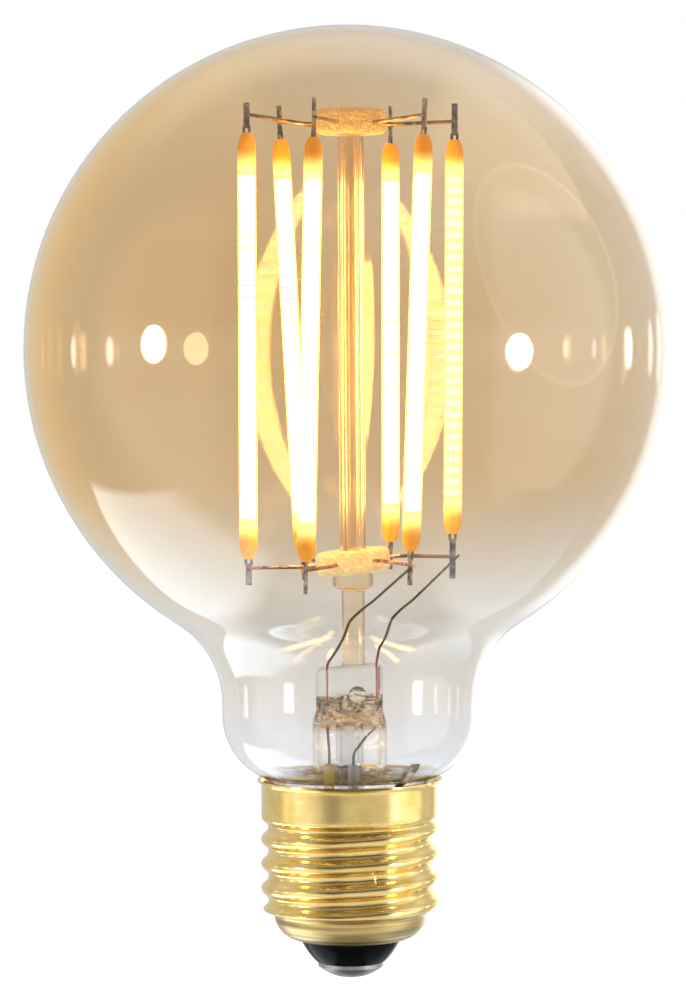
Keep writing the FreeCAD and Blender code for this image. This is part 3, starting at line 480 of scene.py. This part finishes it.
# Painted glow for the filament light that the beads catch, strongest at the lower hub.
caught = patches * place.axis("Z").between(weak_glow_height, full_glow_height)
shade.surface(
    Base_Color=patches.between(0.35, 0.65).colours(bead_amber, bead_pale),
    Roughness=0.06 + grit * 0.20,
    IOR=glass_index,
    Transmission_Weight=0.22,
    Emission_Color=caught.colours(weak_glow, full_glow),
    Emission_Strength=1.0,
    Normal=(bubbles + grit).bump(bubble_depth, 0.9),
).show()
dress(bead_glass, "upper_hub", "lower_hub")

# Links and stays: hard wire with a thin copper skin, golden brown at the top and redder at the foot.
# They are sealed in the hubs, and welded to the tabs.
burnt_link_size = 0.0014

for level_name, bright, dark in (
    ("upper", (0.66, 0.43, 0.15, 1), (0.24, 0.13, 0.05, 1)),
    ("lower", (0.62, 0.38, 0.25, 1), (0.20, 0.11, 0.07, 1)),
):
    link_metal, shade = new_finish(f"{level_name}_link_metal")
    blotches = shade.place().cloud(burnt_link_size, 4)
    shade.surface(
        Base_Color=blotches.between(0.35, 0.65).colours(bright, dark),
        Metallic=1.0,
        Roughness=0.16 + blotches * 0.2,
    ).show()
    wires = (f"{level_name}_link", f"{level_name}_stay")
    dress(link_metal, *[name for name in nodes if name.startswith(wires)])

# End tabs: stamped strip with a nickel skin, forked, one in each end of a filament.
# They are welded to the wires, and stained brown round each weld.
nickel_bright = (0.62, 0.56, 0.49, 1)
weld_brown = (0.15, 0.10, 0.07, 1)
weld_stain_size = 0.0012
stamp_stretch = (1500, 1500, 200)
stamp_depth = 0.00002

tab_nickel, shade = new_finish("tab_nickel")
place = shade.place()
stain = place.cloud(weld_stain_size, 4).between(0.36, 0.60)
stamp = place.stretched(stamp_stretch).cloud(1, 2)
shade.surface(
    Base_Color=stain.colours(nickel_bright, weld_brown),
    Metallic=1.0,
    Roughness=0.12 + stain * 0.22,
    Normal=stamp.bump(stamp_depth, 0.4),
).show()
dress(tab_nickel, *[name for name in nodes if "_tab_" in name])

# Filaments: a row of small light-emitting chips on a thin carrier, in a round jacket of yellow silicone and
# phosphor. The chips glow nearly white through it in fine stripes, weaker at both ends of a row and all along
# one filament. The jacket's two ends, past the last chips, stay orange.
filament_count = 6
silicone_deep = (0.95, 0.45, 0.0, 1)
silicone_light = (1.0, 0.56, 0.02, 1)
silicone_clear = (1.0, 0.94, 0.76, 1)
end_orange = (0.19, 0.07, 0.0, 1)
lit_yellow = (1.0, 0.76, 0.26, 1)
lump_size = 0.0009
lump_depth = 0.00008
jacket_hide = 0.42
jacket_glow = 2.4
lit_start = 0.066
glow_start = lit_start - 0.03
glow_full = lit_start + 0.02
clear_start = lit_start - 0.002
clear_full = lit_start + 0.022
chip_pale = (1.0, 0.92, 0.72, 1)
stripe_dark = (0.72, 0.50, 0.16, 1)
stripe_light = (1.0, 0.90, 0.62, 1)
stripe_pitch = 0.00165
chip_glow = 36.0
dim_glow = 5.0
end_glow = 3.0
chip_count = 30
chip_sides = 20
chip_radius = 0.00116
chip_gap = 0.10
end_chips = 1
end_slice = 0.0008
dim_filament = 4

jacket, shade = new_finish("phosphor_jacket")
along = shade.node("ShaderNodeTexCoord", out="Generated").axis("Z")
from_end = 0.5 - abs(along - 0.5)
lit = from_end.between(glow_start, glow_full)
lumps = shade.place().cloud(lump_size, 2)
silicone = shade.surface(
    Base_Color=lumps.colours(silicone_deep, silicone_light),
    Roughness=0.30,
    Emission_Color=lit.colours(end_orange, lit_yellow),
    Emission_Strength=jacket_glow,
    Normal=lumps.bump(lump_depth, 0.4),
)
see_through = from_end.between(clear_start, clear_full) * (1 - jacket_hide)
see_through.shaders(silicone, shade.tinted(silicone_clear)).show()

chip_lights = {}
for kind, strength in (("full", chip_glow), ("dim", dim_glow), ("end", end_glow)):
    chip_lights[kind], shade = new_finish(f"chip_light_{kind}")
    along = shade.place().axis("Z")
    hot = along.math("SINE", along * (2 * math.pi / stripe_pitch)) * 0.5 + 0.5
    shade.surface(
        Base_Color=chip_pale,
        Roughness=0.5,
        Emission_Color=hot.colours(stripe_dark, stripe_light),
        Emission_Strength=strength,
    ).show()

for number in range(1, filament_count + 1):
    name = f"led_filament_{number}"
    dress(jacket, name)
    points = [vertex.co for vertex in nodes[name].data.vertices]
    lowest = min(point.z for point in points)
    highest = max(point.z for point in points)
    foot = [point for point in points if point.z < lowest + end_slice]
    head = [point for point in points if point.z > highest - end_slice]
    bottom = sum(foot, Vector()) / len(foot)
    top = sum(head, Vector()) / len(head)
    upright = (top - bottom).to_track_quat("Z", "Y").to_matrix().to_4x4()
    lit_length = (top - bottom).length * (1 - 2 * lit_start)
    chip_pitch = lit_length / chip_count
    dim = number == dim_filament
    chip_length = chip_pitch * (1 - (0.0 if dim else chip_gap))
    chips = bmesh.new()
    for chip in range(chip_count):
        share = lit_start + (1 - 2 * lit_start) * (chip + 0.5) / chip_count
        here = Matrix.Translation(bottom.lerp(top, share)) @ upright
        made = bmesh.ops.create_cone(
            chips,
            cap_ends=True,
            segments=chip_sides,
            radius1=chip_radius,
            radius2=chip_radius,
            depth=chip_length,
            matrix=here,
        )
        if min(chip, chip_count - 1 - chip) < end_chips:
            for face in {face for corner in made["verts"] for face in corner.link_faces}:
                face.material_index = 1
    mesh = bpy.data.meshes.new(f"chip_row_{number}")
    chips.to_mesh(mesh)
    chips.free()
    mesh.shade_smooth()
    mesh.materials.append(chip_lights["dim" if dim else "full"])
    mesh.materials.append(chip_lights["end"])
    row = bpy.data.objects.new(f"chip_row_{number}", mesh)
    bpy.context.scene.collection.objects.link(row)
    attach(row, "root")

# Glass envelope: blown in a mould, washed inside with an uneven amber film that is left off at the neck.
# The wall is shaded as the smooth arcs of its section, which run into each other at the shoulder, with a neck
# Dust and finger marks lie on the outside. The film has painted light, paler towards the right and the top,
# and a painted golden reflection along the left limb.
deep_amber = (0.785, 0.635, 0.435, 1)
amber_painted_light = (0.825, 0.715, 0.56, 1)
limb_reflection_amber = (0.92, 0.69, 0.24, 1)
film_full = 0.081
film_end = 0.055
wash_size = 0.030
wash_rise = 0.008
wash_drift = 0.01
right_light_start = -0.002
right_light_full = 0.046
left_full = -0.040
left_end = 0.010
neck_blue = (0.905, 0.91, 0.93, 1)
neck_warm = (0.855, 0.832, 0.79, 1)
neck_light = (0.93, 0.93, 0.93, 1)
blue_height = 0.033
warm_height = 0.043
globe_height = 0.0925
shoulder_slope = 1.5861
shoulder_reach = 0.0328
shoulder_bend = 0.014
neck_turn_reach = 0.0088
neck_turn_bend = 0.010
neck_top = 0.040477
neck_foot = 0.038707
neck_lean = 0.095
seam_half = 0.016
collar_height = 0.0300
dust_pale = (0.92, 0.90, 0.86, 1)
smear_size = 0.012
speck_size = 0.0006
dust_share = 0.16

amber_glass, shade = new_finish("amber_glass")
place = shade.place()
side = place.axis("X")
height = place.axis("Z")
wash = place.cloud(wash_size, 3)
amber = (height + wash * wash_rise).between(film_end, film_full)
# Painted light: the film is paler towards the right and the top, with an uneven wash.
painted_right_light = (side * 0.8 + (height - globe_height) * 0.6 + wash * wash_drift).between(right_light_start, right_light_full)
at_left = 1 - side.between(left_full, left_end)
# Painted golden reflection along the left limb.
left_limb = shade.turned_away(0.42, 0.76) * at_left
film = left_limb.colours(painted_right_light.colours(deep_amber, amber_painted_light), limb_reflection_amber)
bare = height.between(blue_height, warm_height).colours(neck_blue, neck_warm)
flat = place.stretched((1, 1, 0))
reach = flat.length()
radial = flat.unit()


def from_arc(arc_reach, rise):
    """The way from an arc's centre, in the half plane through the axis, to a point of the wall."""
    outward = radial.scaled(reach - arc_reach)
    return outward.vector("ADD", outward, shade.node("ShaderNodeCombineXYZ", {}, {"Z": rise}))


below_neck = (height - neck_foot).least(-neck_lean * neck_turn_bend)
above_neck = (height - neck_top).most(neck_lean * shoulder_bend)
neck_way = from_arc(neck_turn_reach, below_neck).unit()
shoulder_way = from_arc(shoulder_reach, above_neck).scaled(-1.0).unit()
globe_way = from_arc(0.0, height - globe_height).unit()
on_shoulder = height > (neck_foot + neck_top) / 2
past_seam = (height - globe_height + reach * shoulder_slope).between(-seam_half, seam_half)
true_way = past_seam.ways(on_shoulder.ways(neck_way, shoulder_way), globe_way).unit()
mesh_way = shade.node("ShaderNodeNewGeometry", out="Normal")
true_way = true_way.scaled(shade.math("SIGN", true_way.toward(mesh_way)))
wall_way = (height > collar_height).ways(mesh_way, true_way)
straight = amber.shaders(shade.tinted(neck_light), shade.tinted(deep_amber))
blown = clear_glass(shade, amber.colours(bare, film), wall_way, straight)
smears = place.cloud(smear_size, 4).between(0.60, 0.72)
specks = place.cloud(speck_size, 2).between(0.58, 0.72)
dust = shade.surface(Base_Color=dust_pale, Roughness=0.9)
(smears * specks * dust_share).shaders(blown, dust).show()
dress(amber_glass, "glass_envelope")

# Basing cement: brown resin and stone flour, baked between the collar and the throat.
# It is rough, and streaked brown where it was smeared on the glass; the pale between the streaks is painted
# light in the shade of the collar.
cement_brown = (0.45, 0.29, 0.14, 1)
cement_painted_light = (0.95, 0.93, 0.88, 1)
streak_stretch = (1, 1, 4)
streak_size = 0.003
streak_depth = 0.0003

cement, shade = new_finish("baked_cement")
streaks = shade.place().stretched(streak_stretch).cloud(streak_size, 4)
# Brown streaks, with painted light in the pale between them.
shade.surface(
    Base_Color=streaks.between(0.40, 0.58).colours(cement_brown, cement_painted_light),
    Roughness=0.85,
    Normal=streaks.bump(streak_depth, 0.8),
).show()
dress(cement, "basing_cement")

# Studio floor: a wide pale sheet well below the bulb, which hangs from whatever holds its cap.
# It takes the bulb's shadow, and glass and metal show the room in its place.
floor_pale = (0.82, 0.82, 0.82, 1)
floor_height = -0.16
floor_half = 6.0
floor_lift = 0.55

floor_finish, shade = new_finish("pale_floor")
matt = shade.surface(Base_Color=floor_pale, Roughness=0.9)
seen_lift = shade.ray("Camera") * floor_lift
lift = shade.node("ShaderNodeEmission", {}, {"Color": (1, 1, 1, 1), "Strength": seen_lift})
lit_floor = shade.node("ShaderNodeAddShader", {}, {0: matt, 1: lift})
bent_rays = shade.ray("Glossy").most(shade.ray("Transmission"))
bent_rays.shaders(lit_floor, shade.tinted((1, 1, 1, 1))).show()
floor_mesh = bpy.data.meshes.new("floor")
turns = ((-1, -1), (1, -1), (1, 1), (-1, 1))
floor_mesh.from_pydata([(x * floor_half, y * floor_half, floor_height) for x, y in turns], [], [(0, 1, 2, 3)])
floor_mesh.materials.append(floor_finish)
floor = bpy.data.objects.new("floor", floor_mesh)
bpy.context.scene.collection.objects.link(floor)

# Studio room: what bright surfaces mirror. It is pale, with a tall light box on each side, a round reflector
# on the right, a white table and wall behind, small bright strips round the bulb, and a dark space over and
# under the camera. A box's place is in degrees: its angle from the camera, its core and its edge.
room_fill = 0.74
room_grey = 0.72
tall = (1, 1, 0.5)
left_box_place = (-72, 14, 36)
left_box_glow = 0.42
right_box_place = (79, 22, 30)
right_box_glow = 0.62
right_wall_place = (158, 8, 17)
right_wall_glow = 1.1
left_gap_place = (-22, 3, 17)
left_gap_dark = 0.34
over_dark = 0.84
under_dark = 0.65
behind_dark = 0.85
ahead_glow = 0.25
ceiling_glow = 0.4
table_tone = (0.84, 0.97, 1.09, 1)
table_glow = 1.9
table_fall = 1.5
disc_way = (0.929, -0.104, 0.35)
disc_reach = math.radians(31)
disc_edge = math.cos(disc_reach)
disc_full = math.cos(disc_reach - 0.012)
disc_glow = 0.15
rim_edge = math.cos(disc_reach - 0.02)
rim_end = math.cos(disc_reach - 0.05)
rim_glow = 0.35
glint_core = 0.4
glint_rise = 0.045
glint_end = 0.080
glint_places = (
    (-91.1, 2.4, 6.0),
    (-111.7, 2.0, 4.0),
    (81.8, 1.5, 3.5),
    (96.0, 1.4, 3.0),
    (116.8, 3.2, 6.0),
    (134.7, 2.8, 2.0),
    (143.7, 3.6, 1.2),
)

room = bpy.data.worlds.new("pale_room")
room.use_nodes = True
room.node_tree.nodes.clear()
shade = Shade(room.node_tree)
way = shade.node("ShaderNodeTexCoord", out="Generated")
level = way.stretched(tall).unit()
side = way.axis("X")
back = way.axis("Y")
up = way.axis("Z")
low = 0 - up
broad = abs(side)
in_front = 1 - back.between(-0.35, 0.30)


def box_at(angle, core, edge):
    """A tall light box at an angle round the bulb, full within its core and gone past its edge."""
    turn = math.radians(angle)
    faces = level.toward((math.sin(turn), -math.cos(turn), 0))
    return faces.between(math.cos(math.radians(edge)), math.cos(math.radians(core)))


left_box = box_at(*left_box_place)
right_box = box_at(*right_box_place)
right_wall = box_at(*right_wall_place)
left_gap = box_at(*left_gap_place)
over = up.between(0.0, 0.22) * (1 - up.between(0.45, 0.65) * 0.5) * in_front
ahead = low.between(0.14, 0.30) * in_front
ceiling = up.between(0.45, 0.70) * back.between(0.30, 0.60)
aside = (broad - low * 0.30).between(0.0, 0.15)
behind = low.between(0.60, 0.86) * back.between(0.05, 0.25) * (1 - back.between(0.62, 0.80))
under = low.between(0.82, 0.95) * in_front * under_dark + behind * (1 - aside) * behind_dark
far_edge = (low * 1.28 - back - side * 0.08).between(0.0, 0.04)
near_edge = (back + low * 0.15).between(-0.15, 0.12)
side_edge = (low + back * 0.32 - broad * 0.73).between(-0.02, 0.05)
table = far_edge * near_edge * side_edge * aside
from_disc = way.toward(disc_way)
disc = from_disc.between(disc_edge, disc_full)
disc_rim = disc * (1 - from_disc.between(rim_edge, rim_end))
glints = sum(box_at(angle, half * glint_core, half) * glow for angle, half, glow in glint_places)
glints = glints * (1 - abs(up).between(glint_rise, glint_end))
grey = room_grey - left_gap * left_gap_dark + ahead * ahead_glow
grey = grey * (1 - over * over_dark) * (1 - under) + ceiling * ceiling_glow
lights = (left_box * left_box_glow + right_box * right_box_glow) * (1 - under)
boxes = grey + lights + right_wall * right_wall_glow + disc * disc_glow + disc_rim * rim_glow
mirrored = boxes * (1 - table) + table * (table_glow - side * table_fall) + glints
mirrors = shade.ray("Glossy")
plain = mirrors * mirrored + (1 - mirrors) * room_fill
white = shade.ray("Camera").most(shade.ray("Transmission") * back.between(0.55, 0.88))
strength = white + (1 - white) * plain
tone = (table * mirrors * (1 - white)).colours((1, 1, 1, 1), table_tone)
wall = shade.node("ShaderNodeBackground", {}, {"Color": tone, "Strength": strength})
shade.node("ShaderNodeOutputWorld", {}, {"Surface": wall})
bpy.context.scene.world = room

# Studio lamps: two round lamps at about the height of the globe, one on each side.
# Each place is an angle round the bulb from the camera and a rise, in degrees.
lamp_distance = 0.95
lamp_size = 0.18
lamp_power = 1.08
lamp_places = ((-69.2, 1.95), (60.5, -0.75))

globe_middle = Vector((0, 0, globe_height))
for angle, rise in lamp_places:
    turn = math.radians(angle)
    tip = math.radians(rise)
    lamp = bpy.data.lights.new("round_lamp", "AREA")
    lamp.shape = "DISK"
    lamp.size = lamp_size
    lamp.energy = lamp_power
    stand = bpy.data.objects.new("round_lamp", lamp)
    stand.location = globe_middle + Vector((math.sin(turn), -math.cos(turn), math.tan(tip))) * lamp_distance
    stand.rotation_euler = (globe_middle - stand.location).to_track_quat("-Z", "Y").to_euler()
    bpy.context.scene.collection.objects.link(stand)

# Camera: level with the globe's middle and well away from it, with a long lens.
# It is tipped down a little to take in the cap.
camera_distance = 0.540
camera_lens = 132.0
camera_near = 0.01
camera_height = 0.0931
camera_aim = Vector((-0.00076, 0, 0.0704))
camera_roll = math.radians(-0.35)

camera = bpy.data.objects.new("camera", bpy.data.cameras.new("camera"))
camera.data.lens = camera_lens
camera.data.clip_start = camera_near
camera.location = (0, -camera_distance, camera_height)
aim = (camera_aim - camera.location).to_track_quat("-Z", "Y")
camera.rotation_euler = (aim.to_matrix() @ Matrix.Rotation(camera_roll, 3, "Z")).to_euler()
bpy.context.scene.collection.objects.link(camera)
bpy.context.scene.camera = camera
bpy.context.scene.view_settings.view_transform = "Standard"
